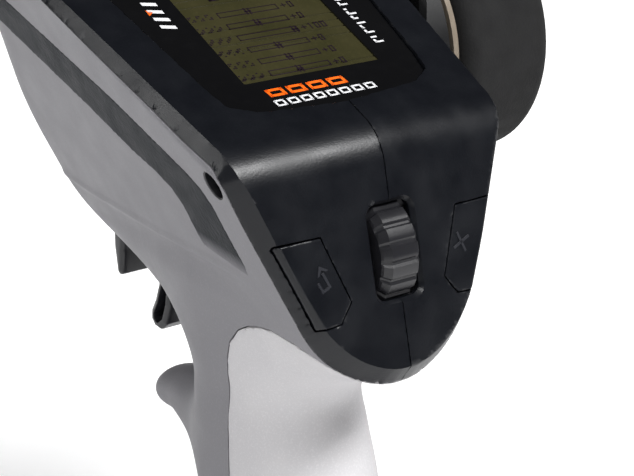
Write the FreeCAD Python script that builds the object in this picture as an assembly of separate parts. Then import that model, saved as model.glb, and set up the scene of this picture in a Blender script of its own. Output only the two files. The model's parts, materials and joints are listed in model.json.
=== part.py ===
"""Pistol-grip radio controller: every piece as its own solid, in millimetres, +Z up.

The origin is the centre of the base's underside. +Y points forwards, away from the driver,
and +X points to the side that carries the steering wheel.
"""
import FreeCAD, Part
import math
import os

from FreeCAD import Placement, Rotation, Vector

# ---- driving dimensions -------------------------------------------------------------------
SCREEN_Y, SCREEN_Z = -4.0, 205.0        # middle of the display's lower edge
TILT = math.radians(21.5)               # the top face's slope
TOP_CENTRE = 3.2                        # top face above the display, on the centre line
TOP_FALL = 0.05                         # how fast the top face falls away to each side
BACK_AT_ZERO, BACK_RISE, BACK_FALL = 41.0, 1.404, 0.109     # back face in the screen's frame
ROLL_RADIUS = 12.0                      # roll-over from the top face to the back face
WALL = 2.2                              # moulded wall
GRIP_WALL = 3.4                         # grip wall where no pad covers it
PAD_THICK = 1.6                         # rubber grip pad
BEVEL_ANGLE = math.radians(50)          # bevel round the head, from its face
TOP_PART_DEPTH, BACK_PART_DEPTH = 3.5, 4.4      # where the dark head meets the light body

DISPLAY_W, DISPLAY_L = 35.0, 60.0       # visible display
BUTTON_GAP, BUTTON_TRAVEL = 0.15, 0.8   # round a button, and how far it is pressed
KEY_X, KEY_DOWN, KEY_STEM_R = 15.6, 10.5, 2.0   # an edge key's switch: across, down the back face
SWITCH_DEPTH, KEY_BOARD_DEPTH = 8.9, 26.0       # key switches and their board behind the face
# an edge key's outline: across, and down the back face
KEY_OUTLINE = [(17.5, 5.0), (12.2, 19.6), (15.3, 23.8), (20.6, 24.2), (28.4, 5.0)]
STEM_GAP = 1.2                          # left between a pressed key's slanting stem and its switch
ROLLER_R, ROLLER_HALF_W, ROLLER_PROUD = 12.0, 4.8, 3.2
SLOT_HALF_W, SLOT_TOP, SLOT_BOTTOM = 5.5, 1.0, 21.6      # roller slot along the back face
ROLLER_MIDDLE = 11.3                    # roller centre along the back face
SIDE_HOLE_R = 3.35                      # round hole in each side wall

WHEEL_Y, WHEEL_Z = 38.0, 195.0          # steering axis, along X
WHEEL_R, RIM_R = 31.0, 23.0             # foam tyre outside and inside
WHEEL_X0, WHEEL_X1 = 54.0, 80.0         # foam tyre along X
POD_R, POD_FACE_R = 33.6, 28.4          # drum that carries the wheel
POD_X, POD_FACE_X = 46.0, 50.0
SHAFT_R, RUNNING = 3.0, 0.04            # shafts and the radial clearance of a running fit

TRIGGER_Y, TRIGGER_Z = 60.0, 163.0      # trigger pivot, along X
TRIGGER_HALF_W, TRIGGER_GAP = 7.0, 0.6
PIN_R = 1.5

BASE_HALF_X, BASE_HALF_Y, BASE_H = 46.0, 46.0, 38.0
BASE_CORNER_R = 15.0
FLOOR_GAP = 1.0                         # base above what it stands on, on its rubber feet
CELL_R, CELL_L = 7.2, 50.0              # AA cell
BAY_HALF_X, BAY_HALF_Y = 30.0, 29.5     # battery bay
SCREW_PLACES = [(x, y) for x in (-40, 40) for y in (-34, 34)]

# bevel's inner edge: half-width, then along the screen, then above it
HEAD_EDGE = [(46.8, 90, 0.2), (34.5, -20, 1.3), (29.5, -32.3, -7.6), (21.0, -45.6, -25.2),
             (14.4, -51.3, -32.5), (5.1, -55.1, -36.9), (0.0, -55.7, -37.2)]
BEVEL_WIDTH = [4.2, 5.0, 5.6, 6.4, 6.2, 6.2]    # of each stretch of that edge

# grip sections: height, back, front, half-width
GRIP = [(37.0, -28.0, 34.0, 22.5), (44.0, -25.0, 30.5, 19.5), (58.0, -24.5, 29.5, 17.6),
        (76.0, -24.5, 31.0, 17.0), (94.0, -23.0, 33.0, 17.0), (110.0, -19.5, 34.5, 17.0),
        (120.0, -15.5, 34.0, 16.8), (129.0, -13.0, 33.5, 16.6), (137.0, -19.5, 34.5, 16.5),
        (144.0, -30.0, 36.0, 16.5), (151.0, -34.0, 38.0, 16.5)]
# finger horn sections: forwards, middle height, half-height, half-width
HORN = [(24.0, 104.0, 15.0, 11.0), (38.0, 107.0, 10.5, 9.6), (50.0, 107.5, 7.0, 7.4),
        (60.0, 105.3, 4.4, 5.4), (64.5, 104.5, 2.2, 3.4)]
PAD_FRONT = 5.0                         # front edge of the rubber pad on the grip's sides

# side inlay outline on the side wall: forwards and height
INLAY = [(80.0, 217.0), (18.0, 199.6), (-8.7, 190.2), (-13.0, 187.8), (-15.6, 184.5), (-17.0, 179.0),
         (-19.4, 171.0), (-18.9, 168.5), (-12.0, 168.3), (0.6, 168.9), (1.6, 172.1), (2.6, 178.0),
         (5.4, 181.6), (11.1, 184.0), (20.9, 186.4), (38.9, 192.6), (80.0, 205.0)]
INLAY_DEPTH, INLAY_THICK = 1.2, 1.6
SIDE_HOLE = (-20.8, 191.0)              # forwards and height

X_AXIS, Y_AXIS, Z_AXIS = Vector(1, 0, 0), Vector(0, 1, 0), Vector(0, 0, 1)
INSIDE = Vector(0, 20, 180)             # a point well inside the head
# nose outline in forwards and height, from the top face's end down to the underside
NOSE_U = 88.0                           # display-wise place where the nose starts under the skin
NOSE = [(79.0, 241.0), (94.0, 230.0), (97.0, 184.0), (86.0, 149.4), (46.0, 143.0)]


# ---- frames -------------------------------------------------------------------------------
def screen(x, u, w):
    """A point given across, along and above the display."""
    return Vector(x, SCREEN_Y + u * math.cos(TILT) - w * math.sin(TILT),
                  SCREEN_Z + u * math.sin(TILT) + w * math.cos(TILT))


TOP_N = screen(0, 0, 1) - screen(0, 0, 0)
BACK_ORIGIN = screen(0, -34.7, BACK_AT_ZERO - BACK_RISE * 34.7)
BACK_DOWN = (screen(0, -1, -BACK_RISE) - screen(0, 0, 0)).normalize()
BACK_SLANT = math.hypot(1, BACK_RISE)
BACK_N = BACK_DOWN.cross(X_AXIS)
if BACK_N.y > 0:
    BACK_N = BACK_N * -1


def back(x, down, depth=0.0):
    """A point on the back face: across, down the face from the roller slot's top, and into the head."""
    return BACK_ORIGIN + X_AXIS * x + BACK_DOWN * down - BACK_N * (depth + abs(x) * BACK_FALL / BACK_SLANT)


def side_x(y, z):
    """Half-width of the body's slanting side wall at a point."""
    return 39.56 - 0.0595 * y + 0.4065 * (z - SCREEN_Z)


SIDE_N = Vector(1, 0.0595, -0.4065).normalize()        # right side wall, outwards


# ---- small helpers ------------------------------------------------------------------------
def prism(points, vector):
    return Part.Face(Part.makePolygon(points + [points[0]])).extrude(vector)


def tube(radius, start, end, hole=0.0):
    """A round bar between two points, with a hole along it if a radius is given."""
    along = end - start
    bar = Part.makeCylinder(radius, along.Length, start, along)
    if hole:
        bar = bar.cut(Part.makeCylinder(hole, along.Length + 2, start - along.normalize(), along))
    return bar


def xbar(radius, x0, x1, y, z, hole=0.0):
    return tube(radius, Vector(x0, y, z), Vector(x1, y, z), hole)


def block(x0, x1, y0, y1, z0, z1):
    return Part.makeBox(x1 - x0, y1 - y0, z1 - z0, Vector(x0, y0, z0))


def slab(x0, x1, u0, u1, w0, w1):
    """A box square to the display."""
    return prism([screen(x0, u0, w0), screen(x1, u0, w0), screen(x1, u1, w0), screen(x0, u1, w0)],
                 TOP_N * (w1 - w0))


def back_slab(x0, x1, down0, down1, depth0, depth1):
    """A box square to the back face."""
    corner = BACK_ORIGIN - BACK_N * depth0
    points = [corner + X_AXIS * x + BACK_DOWN * d for x, d in
              ((x0, down0), (x1, down0), (x1, down1), (x0, down1))]
    return prism(points, BACK_N * (depth0 - depth1))


def mirrored(shape):
    return shape.mirror(Vector(0, 0, 0), X_AXIS)


def trim(shape, p, q, r, inset):
    """Cuts away what lies outside the plane through three points, moved inwards by inset."""
    normal = (q - p).cross(r - p).normalize()
    if normal.dot(INSIDE - p) > 0:
        normal = normal * -1
    size = 500.0
    cutter = Part.makeBox(size, size, size, Vector(-size / 2, -size / 2, 0))
    cutter.Placement = Placement(p - normal * inset, Rotation(Z_AXIS, normal))
    return shape.cut(cutter)


def spring(radius, wire, length, turns, start, along):
    """A helical spring of round wire."""
    path = Part.makeHelix(length / turns, length, radius)
    section = Part.Wire(Part.makeCircle(wire, Vector(radius, 0, 0), Y_AXIS))
    coil = Part.Wire(path).makePipeShell([section], True, True)
    coil.Placement = Placement(start, Rotation(Z_AXIS, along))
    return coil


def pan_screw(start, along, radius=1.25, length=8.0):
    """A pan-head screw: start is under its head and along is its shank's direction."""
    along = Vector(along).normalize()
    head = Part.makeCylinder(radius * 1.9, radius * 1.3, start - along * radius * 1.3, along)
    slot = Part.makeBox(radius * 3, radius * 0.5, radius, Vector(-radius * 1.5, -radius * 0.25, 0))
    slot.Placement = Placement(start - along * radius * 1.4, Rotation(Z_AXIS, along))
    return head.cut(slot).fuse(Part.makeCylinder(radius, length, start, along)).removeSplitter()


written = []


def write(node, *solids):
    shape = solids[0] if len(solids) == 1 else Part.makeCompound(list(solids))
    bodies = shape.Solids
    if len(bodies) == 1:
        shape = bodies[0]
    else:
        shape = Part.makeCompound(bodies)
    state = "" if shape.isValid() else " NOT VALID"
    print(f"{node}: {len(bodies)} solid(s), {shape.Volume:.0f} mm3{state}")
    shape.exportStep(f"parts/{node}.step")
    written.append(node)


# ---- head and body envelope ---------------------------------------------------------------
def bevel_frames():
    """For each stretch of the head's edge: its two ends, outward direction and face normal."""
    frames = []
    for i, (a, b) in enumerate(zip(HEAD_EDGE[:-1], HEAD_EDGE[1:])):
        p, q = screen(*a), screen(*b)
        if i == 0:
            face = screen(TOP_FALL, 0, 1) - screen(0, 0, 0)
        elif i == 1:
            face = screen(0.09, -0.75, 1) - screen(0, 0, 0)
        else:
            face = screen(BACK_FALL, -BACK_RISE, 1) - screen(0, 0, 0)
        face.normalize()
        outward = (q - p).cross(face).normalize()
        if outward.dot(INSIDE - p) > 0:
            outward = outward * -1
        frames.append((p, q, outward, face))
    return frames


FRAMES = bevel_frames()


def envelope(inset):
    """Right half of the head and body's outer form, moved inwards by inset."""
    half = block(0, 70, -70, 110, 110, 260)
    half = trim(half, screen(0, 0, TOP_CENTRE), screen(0, 50, TOP_CENTRE),
                screen(40, 0, TOP_CENTRE - 40 * TOP_FALL), inset)
    low = BACK_AT_ZERO - 50 * BACK_RISE
    half = trim(half, screen(0, -30, BACK_AT_ZERO - 30 * BACK_RISE), screen(0, -50, low),
                screen(40, -50, low - 40 * BACK_FALL), inset)
    ridge = max((e for e in half.Edges if abs(e.tangentAt(e.FirstParameter).x) > 0.9),
                key=lambda e: e.CenterOfMass.z - abs(e.CenterOfMass.y + 28))
    half = half.makeFillet(ROLL_RADIUS - inset, [ridge])
    for (p, q, outward, face), width in zip(FRAMES, BEVEL_WIDTH):
        lower = p + outward * width * math.cos(BEVEL_ANGLE) - face * width * math.sin(BEVEL_ANGLE)
        half = trim(half, p, q, lower, inset)
    for (p, q, outward, face), width in list(zip(FRAMES, BEVEL_WIDTH))[3:]:
        rim = p + outward * width * math.cos(BEVEL_ANGLE)
        half = trim(half, rim, rim + (q - p), rim + face, inset)
    half = trim(half, Vector(side_x(0, 180), 0, 180), Vector(side_x(50, 180), 50, 180),
                Vector(side_x(0, 150), 0, 150), inset)
    for (y0, z0), (y1, z1) in zip(NOSE[:-1], NOSE[1:]):
        half = trim(half, Vector(0, y0, z0), Vector(0, y1, z1), Vector(9, y0, z0), inset)
    half = trim(half, Vector(48, 72, 225), Vector(27, 97, 225), Vector(44, 72, 190), inset)
    return half


def grip_loft(inset):
    """The grip's form, moved inwards by inset: a stack of rounded oval sections."""
    wires = []
    for z, y_back, y_front, half_w in GRIP:
        middle, reach, wide = (y_back + y_front) / 2, (y_front - y_back) / 2 - inset, half_w - inset
        points = []
        for i in range(20):
            a = 2 * math.pi * i / 20
            c, s = math.cos(a), math.sin(a)
            points.append(Vector(wide * math.copysign(abs(c) ** 0.85, c),
                                 middle + reach * math.copysign(abs(s) ** 0.85, s), z))
        curve = Part.BSplineCurve()
        curve.interpolate(points, PeriodicFlag=True)
        wires.append(Part.Wire(curve.toShape()))
    return Part.makeLoft(wires, True, False)


def horn_loft(inset):
    """The finger horn under the trigger."""
    wires = []
    for y, z, half_h, half_w in HORN:
        scale = max(0.2, 1 - inset / half_w)
        points = []
        for i in range(12):
            a = 2 * math.pi * i / 12
            points.append(Vector(half_w * scale * math.cos(a), y - inset * 0.5,
                                 z + half_h * scale * math.sin(a)))
        curve = Part.BSplineCurve()
        curve.interpolate(points, PeriodicFlag=True)
        wires.append(Part.Wire(curve.toShape()))
    return Part.makeLoft(wires, True, False)


def right_half(shape):
    return shape.common(block(0, 80, -80, 120, 20, 260))


def parting(extra_top, extra_back):
    """Everything under the surface where the dark head meets the light body."""
    top = TOP_CENTRE - TOP_PART_DEPTH - extra_top
    depth = BACK_PART_DEPTH + extra_back
    corner_u = (top - BACK_AT_ZERO + depth * BACK_SLANT) / BACK_RISE
    low = BACK_ORIGIN + BACK_DOWN * 60 - BACK_N * depth
    turn_u = corner_u - 2.6
    turn = screen(0, turn_u, BACK_RISE * turn_u + BACK_AT_ZERO - depth * BACK_SLANT)
    y1, z1 = NOSE[1]
    drop = TOP_PART_DEPTH + extra_top
    outline = [Vector(0, 130, z1 - 3.0), Vector(0, y1 - drop * 0.6, z1 - 3.0),
               screen(0, NOSE_U, top), screen(0, corner_u + 4, top), turn,
               low, Vector(0, 130, low.z)]
    return prism([v - X_AXIS * 90 for v in outline], X_AXIS * 180)


def button_prism(grow, depth0, depth1):
    """The right button's outline, grown by a gap, swept between two depths below the back face."""
    p, _, _, face = FRAMES[2]
    corners = [back(x, down, 0) for x, down in KEY_OUTLINE]
    points = []
    for a, b, c in zip(corners[-1:] + corners[:-1], corners, corners[1:] + corners[:1]):
        first, second = (b - a).cross(face).normalize(), (c - b).cross(face).normalize()
        side = 1 if (b - a).cross(c - b).dot(face) > 0 else -1
        points.append(b + (first + second) * (side * grow / (1 + first.dot(second))))
    flat = [v - face * ((v - p).dot(face) + depth1) for v in points]
    return prism(flat, face * (depth1 - depth0))


def head_and_body():
    """The dark head shells, the light body shells, the buttons, the pad and the side inlays."""
    outer, inner, below = envelope(0.0), envelope(WALL), parting(0.0, 0.0)
    lcd_hole = bezel_block(0.0, -8.0, 8.0)
    slot = back_slab(-SLOT_HALF_W, SLOT_HALF_W, SLOT_TOP, SLOT_BOTTOM, -9, 9)
    cap = outer.cut(below).cut(inner)
    head = cap.cut(button_prism(BUTTON_GAP, -6, 7)).cut(slot).cut(lcd_hole)
    body_outer = outer.common(below).fuse(right_half(grip_loft(0.0))).fuse(right_half(horn_loft(0.0)))
    hollow = inner.fuse(right_half(grip_loft(GRIP_WALL))).fuse(right_half(horn_loft(2.0)))
    body = body_outer.cut(hollow).cut(button_prism(0.4, -6, BACK_PART_DEPTH + 2.2))
    body = body.cut(outer.cut(below)).cut(bezel_block(0.0, -1.6, 8.0))
    for cutter in head_openings():
        head = head.cut(cutter)
        body = body.cut(cutter)
    pad = right_half(grip_loft(0.0)).cut(grip_loft(PAD_THICK))
    pad = pad.common(block(0, 60, -60, PAD_FRONT, 42, 170)).cut(outer)
    body = body.cut(pad)
    return outer, cap, head, body, pad


def bezel_block(grow, w0, w1):
    """The gloss screen cover's outline, which widens forwards, swept up from w0 to w1."""
    points = [(0, -14.4), (20, -11.2), (25.0, -7.0), (26.2, -1.0), (34.6, 68.0), (30.5, 72.5), (0, 74.0)]
    right = [screen(x + (grow if x else 0), u + (grow if u > 0 else -grow), w0) for x, u in points]
    left = [Vector(-v.x, v.y, v.z) for v in reversed(right[1:-1])]
    return prism(right + left, TOP_N * (w1 - w0))


POWER_U, ROCKER_U, KNOB_U = 80.5, 80.5, 80.5
ROCKER_X, KNOB_X = 17.0, 34.0
POWER_HOLE_R, KNOB_HOLE_R = 6.3, 6.4
ROCKER_HOLE_X, ROCKER_HOLE_U = 3.4, 5.9     # half-sizes of a rocker's hole


def head_openings():
    """Holes through the top face for the power button, the trim rockers and the knob."""
    yield tube(POWER_HOLE_R, screen(0, POWER_U, -9), screen(0, POWER_U, 9))
    yield slab(ROCKER_X - ROCKER_HOLE_X, ROCKER_X + ROCKER_HOLE_X, ROCKER_U - ROCKER_HOLE_U,
               ROCKER_U + ROCKER_HOLE_U, -9, 9)
    yield tube(KNOB_HOLE_R, screen(KNOB_X, KNOB_U, -9), screen(KNOB_X, KNOB_U, 9))


def inlay(side_cut=None):
    """Right side inlay: its plate, and the opening for it in the side wall."""
    points = [Vector(side_x(y, z), y, z) for y, z in INLAY]
    if side_cut is not None:
        points = [Vector(side_x(y, z), y, z) for y, z in INLAY if y < side_cut]
    plate = prism([v - SIDE_N * INLAY_DEPTH for v in points], SIDE_N * -INLAY_THICK)
    opening = prism([v + SIDE_N * 3 for v in points], SIDE_N * -9)
    return plate, opening


def side_bore(radius, depth0, depth1):
    """A bar square to the right side wall at the side hole."""
    y, z = SIDE_HOLE
    mouth = Vector(side_x(y, z), y, z)
    return tube(radius, mouth - SIDE_N * depth0, mouth - SIDE_N * depth1)


def side_space():
    """All the space on the head's side of the right side wall's plane."""
    corners = [Vector(side_x(y, z), y, z) for y, z in ((-60, 100), (130, 100), (130, 280), (-60, 280))]
    return prism(corners, X_AXIS * -120)


def trigger_slot():
    return block(-TRIGGER_HALF_W - TRIGGER_GAP, TRIGGER_HALF_W + TRIGGER_GAP, 36.5, 86, 118, 160)


def casings():
    """Everything that wraps the head, body and grip."""
    outer, cap, head, body, pad = head_and_body()
    bore = xbar(13.0, 20, 60, WHEEL_Y, WHEEL_Z)
    drum = xbar(POD_R, 10, POD_X, WHEEL_Y, WHEEL_Z)
    boss = side_bore(SIDE_HOLE_R + 1.4, 0.0, 9.0)
    body = body.fuse(boss.common(outer).cut(outer.cut(parting(0.0, 0.0))))
    body = body.cut(side_bore(SIDE_HOLE_R, -3.0, 7.5)).cut(trigger_slot())
    plate, opening = inlay()
    short_plate, short_opening = inlay(3.0)
    write("head_shell_right", head)
    write("head_shell_left", mirrored(head))
    write("body_shell_right", body.cut(short_opening).cut(bore))
    write("body_shell_left", mirrored(body.cut(opening)))
    write("side_inlay_right", short_plate)
    write("side_inlay_left", mirrored(plate))
    write("grip_pad", pad.fuse(mirrored(pad)))
    pod = drum.cut(xbar(POD_R - 2.4, 0, POD_X - 2.6, WHEEL_Y, WHEEL_Z)).cut(side_space())
    pod = pod.fuse(xbar(POD_FACE_R, POD_X - 1, POD_FACE_X, WHEEL_Y, WHEEL_Z))
    pod = pod.cut(xbar(POD_FACE_R - 2.4, 0, POD_FACE_X - 2.6, WHEEL_Y, WHEEL_Z))
    pod = pod.fuse(xbar(9.0, 27.0, POD_FACE_X, WHEEL_Y, WHEEL_Z))
    pod = pod.cut(xbar(5.5, 20, 60, WHEEL_Y, WHEEL_Z))
    for x in (POD_FACE_X - 3.5, 27.0):
        pod = pod.cut(xbar(6.5, x, x + 3.5, WHEEL_Y, WHEEL_Z))
    write("steering_pod", pod.removeSplitter())
    write("steering_bearings", *[xbar(6.5, x, x + 3.0, WHEEL_Y, WHEEL_Z, SHAFT_R + RUNNING)
                                 for x in (POD_FACE_X - 3.5, 27.5)])
    write("pod_trim_ring", xbar(POD_FACE_R + 1.2, POD_X, POD_X + 0.8, WHEEL_Y, WHEEL_Z, POD_FACE_R))
    buttons(cap)


def buttons(cap):
    """The two edge buttons, each a piece of the head's skin on a stem."""
    cover = cap.common(button_prism(-BUTTON_GAP, -6, 7))
    foot = back(KEY_X + 2.3, KEY_DOWN, WALL - 0.3)
    stem = tube(KEY_STEM_R, foot, back(KEY_X - 0.2, KEY_DOWN, SWITCH_DEPTH - BUTTON_TRAVEL - STEM_GAP))
    key = cover.fuse(stem).removeSplitter()
    write("clear_button", key)
    write("back_button", mirrored(key))


def display():
    """Screen cover, display glass, its carrier and the boards behind."""
    cover = bezel_block(-0.1, -0.7, 1.1)
    window = slab(-DISPLAY_W / 2, DISPLAY_W / 2, 0, DISPLAY_L, -3, 3)
    write("screen_cover", cover.cut(window))
    write("display_lens", slab(-DISPLAY_W / 2, DISPLAY_W / 2, 0, DISPLAY_L, 0.1, 0.7))
    write("display_panel", slab(-DISPLAY_W / 2, DISPLAY_W / 2, 0, DISPLAY_L, -2.0, 0.0))
    carrier = slab(-22, 22, -4, 66, -5.0, -0.8)
    carrier = carrier.cut(slab(-DISPLAY_W / 2, DISPLAY_W / 2, 0, DISPLAY_L, -3.4, 3))
    write("display_carrier", carrier)
    board = slab(-27, 27, -8, 84, -6.8, -5.2)
    for x in (-24.8, 24.8):
        for u in (-5, 60):
            board = board.cut(tube(1.3, screen(x, u, -9), screen(x, u, -3)))
    write("main_board", board)
    write("board_screws", *[pan_screw(screen(x, u, -5.2), TOP_N * -1, 1.2, 5.0)
                            for x in (-24.8, 24.8) for u in (-5, 60)])
    write("radio_module", slab(-14, 14, 50, 78, -10.0, -6.8))
    write("speaker", tube(9.0, screen(-14, 10, -11.5), screen(-14, 10, -6.8), 0.0))
    write("aerial_strip", block(-20, 20, 88.0, 89.0, 188, 212))


def roller_parts():
    """The roller, its axle, and the sprung cradle that lets it be pressed."""
    centre = back(0, ROLLER_MIDDLE, ROLLER_R - ROLLER_PROUD)
    drum = xbar(ROLLER_R, -ROLLER_HALF_W, ROLLER_HALF_W, centre.y, centre.z, 1.0)
    edge = [e for e in drum.Edges if abs(e.Length - 2 * math.pi * ROLLER_R) < 0.1]
    drum = drum.makeChamfer(0.9, edge)
    teeth = 18
    for i in range(teeth):
        a = 2 * math.pi * i / teeth
        radial = Vector(0, math.cos(a), math.sin(a))
        around = Vector(0, -math.sin(a), math.cos(a))
        root, tip = centre + radial * (ROLLER_R - 0.9), centre + radial * (ROLLER_R + 0.5)
        groove = [root - around * 0.45, root + around * 0.45, tip + around * 1.0, tip - around * 1.0]
        drum = drum.cut(prism([v - X_AXIS * 6 for v in groove], X_AXIS * 12))
    write("menu_roller", drum)
    write("roller_axle", xbar(1.0, -7.4, 7.4, centre.y, centre.z))
    cheeks = []
    for x0, x1 in ((-7.6, -5.6), (5.6, 7.6)):
        cheeks.append(back_slab(x0, x1, ROLLER_MIDDLE - 4, ROLLER_MIDDLE + 4, 3.6, 23.0))
    bridge = back_slab(-7.6, 7.6, ROLLER_MIDDLE - 4, ROLLER_MIDDLE + 4, 21.4, 23.0)
    cradle = bridge.fuse(cheeks).cut(xbar(1.0 + RUNNING, -20, 20, centre.y, centre.z)).removeSplitter()
    write("roller_cradle", cradle)
    write("key_board", back_slab(-18.0, 18.0, -4.0, 20.0, KEY_BOARD_DEPTH, KEY_BOARD_DEPTH + 1.6))
    board_depth = KEY_BOARD_DEPTH - KEY_X * BACK_FALL / BACK_SLANT
    switches = [tube(2.2, back(x, KEY_DOWN, SWITCH_DEPTH), back(x, KEY_DOWN, board_depth))
                for x in (-KEY_X, KEY_X)]
    switches.append(tube(2.5, back(0, ROLLER_MIDDLE, KEY_BOARD_DEPTH - 2.2),
                         back(0, ROLLER_MIDDLE, KEY_BOARD_DEPTH)))
    write("key_switches", *switches)


def steering():
    """The steering wheel with its shaft, rim, tyre, screw and sensor."""
    shaft = xbar(SHAFT_R, 17.0, 74.0, WHEEL_Y, WHEEL_Z)
    write("steering_shaft", shaft)
    hub = xbar(8.0, 51.0, 72.0, WHEEL_Y, WHEEL_Z)
    ring = xbar(RIM_R, 56.0, 78.0, WHEEL_Y, WHEEL_Z, RIM_R - 2.6)
    flange = xbar(27.0, 52.2, 53.7, WHEEL_Y, WHEEL_Z, RIM_R - 2.6)
    lip = xbar(RIM_R, 53.7, 56.0, WHEEL_Y, WHEEL_Z, RIM_R - 2.6)
    rim = hub.fuse([ring, flange, lip])
    for i in range(5):
        a = 2 * math.pi * i / 5 + math.pi / 2
        radial = Vector(0, math.cos(a), math.sin(a))
        around = Vector(0, -math.sin(a), math.cos(a))
        centre = Vector(62.0, WHEEL_Y, WHEEL_Z)
        points = [centre + radial * 5 - around * 3.2, centre + radial * 5 + around * 3.2,
                  centre + radial * 21.5 + around * 2.4, centre + radial * 21.5 - around * 2.4]
        rim = rim.fuse(prism(points, X_AXIS * 7.0))
    rim = rim.cut(xbar(SHAFT_R, 40, 74, WHEEL_Y, WHEEL_Z)).removeSplitter()
    write("wheel_rim", rim)
    tyre = xbar(WHEEL_R, WHEEL_X0, WHEEL_X1, WHEEL_Y, WHEEL_Z, RIM_R)
    rims = [e for e in tyre.Edges if abs(e.Length - 2 * math.pi * WHEEL_R) < 0.1]
    write("wheel_tyre", tyre.makeFillet(4.0, rims))
    write("wheel_screw", xbar(5.5, 74.0, 74.8, WHEEL_Y, WHEEL_Z).fuse(
        xbar(3.4, 74.8, 77.2, WHEEL_Y, WHEEL_Z)).cut(
        prism([Vector(76.0, WHEEL_Y + 1.6 * math.cos(k * math.pi / 3),
                      WHEEL_Z + 1.6 * math.sin(k * math.pi / 3)) for k in range(6)], X_AXIS * 3)))
    write("steering_sensor", xbar(8.5, 18.5, 26.8, WHEEL_Y, WHEEL_Z, SHAFT_R + RUNNING))
    write("steering_spring", spring(10.6, 0.5, 4.4, 3, Vector(37.0, WHEEL_Y, WHEEL_Z), X_AXIS))


def trigger_profile():
    """The trigger's side outline in forwards and height, hub apart."""
    front_lobe = [(64.0, 166.0), (75.0, 158.0), (82.0, 149.0), (82.0, 140.0), (81.0, 132.8),
                  (78.6, 131.8), (76.4, 133.2), (76.4, 144.0), (71.5, 150.0), (60.0, 155.0)]
    hook = [(60.0, 157.0), (56.5, 150.0), (54.8, 143.5), (53.8, 135.0), (55.2, 130.0), (60.4, 126.0),
            (60.8, 124.0), (58.8, 122.9), (54.4, 124.3), (50.4, 126.8), (47.4, 131.0),
            (46.8, 139.0), (49.0, 150.0), (54.5, 162.0)]
    return front_lobe, hook


def trigger_parts():
    """The two-way trigger, its pivot pin, bracket, sensor and return spring."""
    hub = xbar(6.5, -TRIGGER_HALF_W, TRIGGER_HALF_W, TRIGGER_Y, TRIGGER_Z)
    trigger = hub
    for outline in trigger_profile():
        points = [Vector(-TRIGGER_HALF_W, y, z) for y, z in outline]
        trigger = trigger.fuse(prism(points, X_AXIS * 2 * TRIGGER_HALF_W))
    trigger = trigger.cut(xbar(PIN_R, -20, 20, TRIGGER_Y, TRIGGER_Z)).removeSplitter()
    write("trigger", trigger)
    write("trigger_pin", xbar(PIN_R, -13.6, 11.0, TRIGGER_Y, TRIGGER_Z))
    bracket = []
    for x0, x1 in ((-10.0, -8.0), (8.0, 10.0)):
        bracket.append(block(x0, x1, 52, 70, 153, 176))
    bracket = block(-10, 10, 52, 70, 174, 176).fuse(bracket)
    bracket = bracket.cut(xbar(PIN_R + RUNNING, -30, 30, TRIGGER_Y, TRIGGER_Z)).removeSplitter()
    write("trigger_bracket", bracket)
    write("trigger_sensor", xbar(5.0, -13.4, -10.0, TRIGGER_Y, TRIGGER_Z, PIN_R + RUNNING))
    write("trigger_spring", spring(3.0, 0.35, 2.4, 3, Vector(10.6, TRIGGER_Y, TRIGGER_Z), X_AXIS))


def top_controls():
    """Power button, two trim rockers and a rate knob ahead of the display."""
    write("power_button", tube(6.0, screen(0, POWER_U, -3.6), screen(0, POWER_U, 4.0)))
    write("power_switch", slab(-3, 3, POWER_U - 3, POWER_U + 3, -5.2, -4.6))
    for name, side in (("throttle_trim_rocker", -1), ("steering_trim_rocker", 1)):
        x = side * ROCKER_X
        top = 3.9
        points = [(x - 3.0, -5.4, top), (x - 3.0, 0.0, top - 0.9), (x - 3.0, 5.4, top),
                  (x - 3.0, 5.4, 0.2), (x - 3.0, 0.0, -2.6), (x - 3.0, -5.4, 0.2)]
        rocker = prism([screen(a, ROCKER_U + b, c) for a, b, c in points], X_AXIS * 6.0)
        rocker = rocker.fuse(tube(1.0, screen(x - 4.6, ROCKER_U, -1.4), screen(x + 4.6, ROCKER_U, -1.4)))
        write(name, rocker.removeSplitter())
    holders = []
    for side in (-1, 1):
        for x in (side * ROCKER_X - 4.1, side * ROCKER_X + 4.1):
            holder = slab(x - 0.7, x + 0.7, ROCKER_U - 2.2, ROCKER_U + 2.2, -5.2, -0.2)
            holders.append(holder.cut(tube(1.0 + RUNNING, screen(x - 2, ROCKER_U, -1.4),
                                           screen(x + 2, ROCKER_U, -1.4))))
    write("trim_brackets", *holders)
    knob = tube(6.0, screen(-KNOB_X, KNOB_U, -2.0), screen(-KNOB_X, KNOB_U, 8.5))
    for i in range(12):
        a = 2 * math.pi * i / 12
        x, u = -KNOB_X + 6.1 * math.cos(a), KNOB_U + 6.1 * math.sin(a)
        knob = knob.cut(tube(0.7, screen(x, u, 3.4), screen(x, u, 9)))
    write("rate_knob", knob)
    write("knob_sensor", tube(5.0, screen(-KNOB_X, KNOB_U, -8.0), screen(-KNOB_X, KNOB_U, -2.3)))
    write("mode_key", tube(6.1, screen(KNOB_X, KNOB_U, -3.0), screen(KNOB_X, KNOB_U, 3.2)))


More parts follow.
